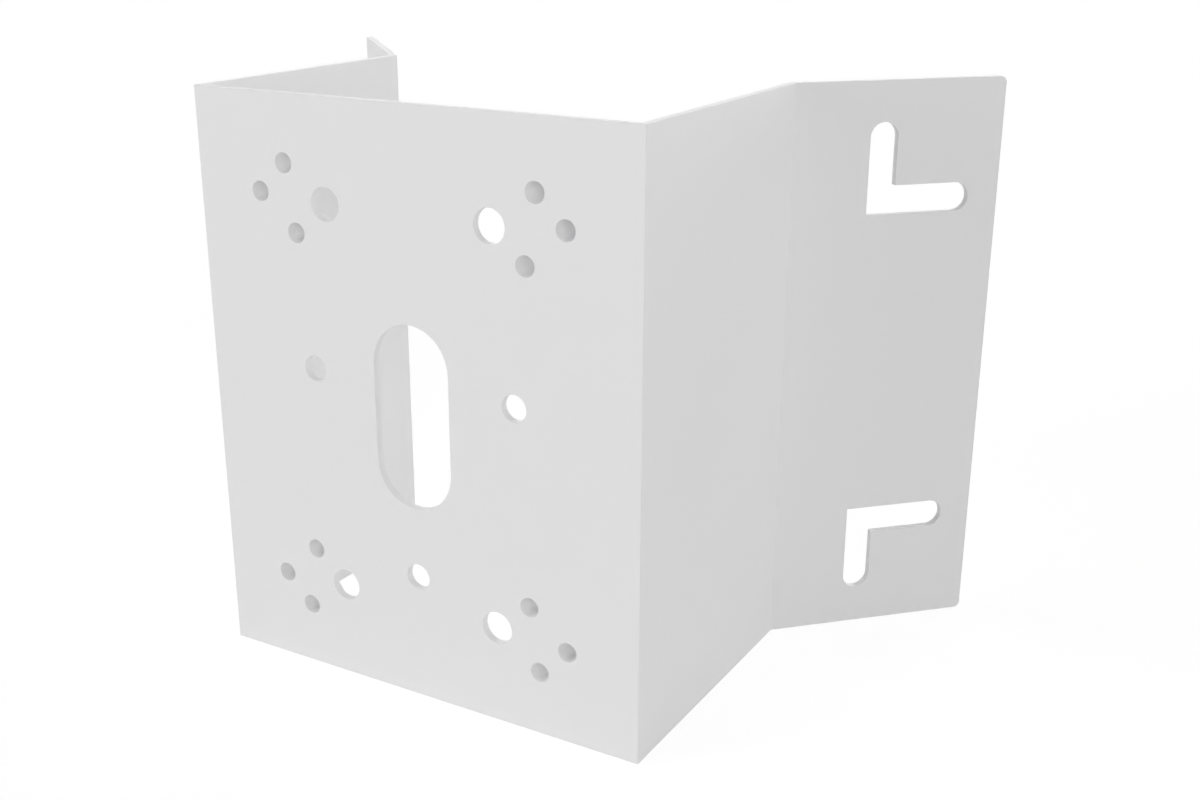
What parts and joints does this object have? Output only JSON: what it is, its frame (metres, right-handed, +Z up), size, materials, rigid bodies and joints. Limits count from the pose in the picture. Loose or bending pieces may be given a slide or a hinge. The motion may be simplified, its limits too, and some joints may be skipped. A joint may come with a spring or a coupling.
{
  "type": "camera corner mount bracket",
  "caption": "Folded steel bracket that holds a camera plate off a building's outside corner, with angled wall flanges, L-shaped screw slots, threaded holes and a cable slot.",
  "frame": {"origin": "middle of the footprint, level with the bracket's lower edges", "axes": "+X across the camera plate, -Y out of the plate's front, +Z up along the folds"},
  "size_m": [0.2476, 0.1434, 0.18],
  "materials": {
    "powder_coat": "satin"
  },
  "bodies": {
    "root": {"corner_bracket": "powder_coat", "threaded_bosses": "powder_coat"}
  },
  "joints": []
}
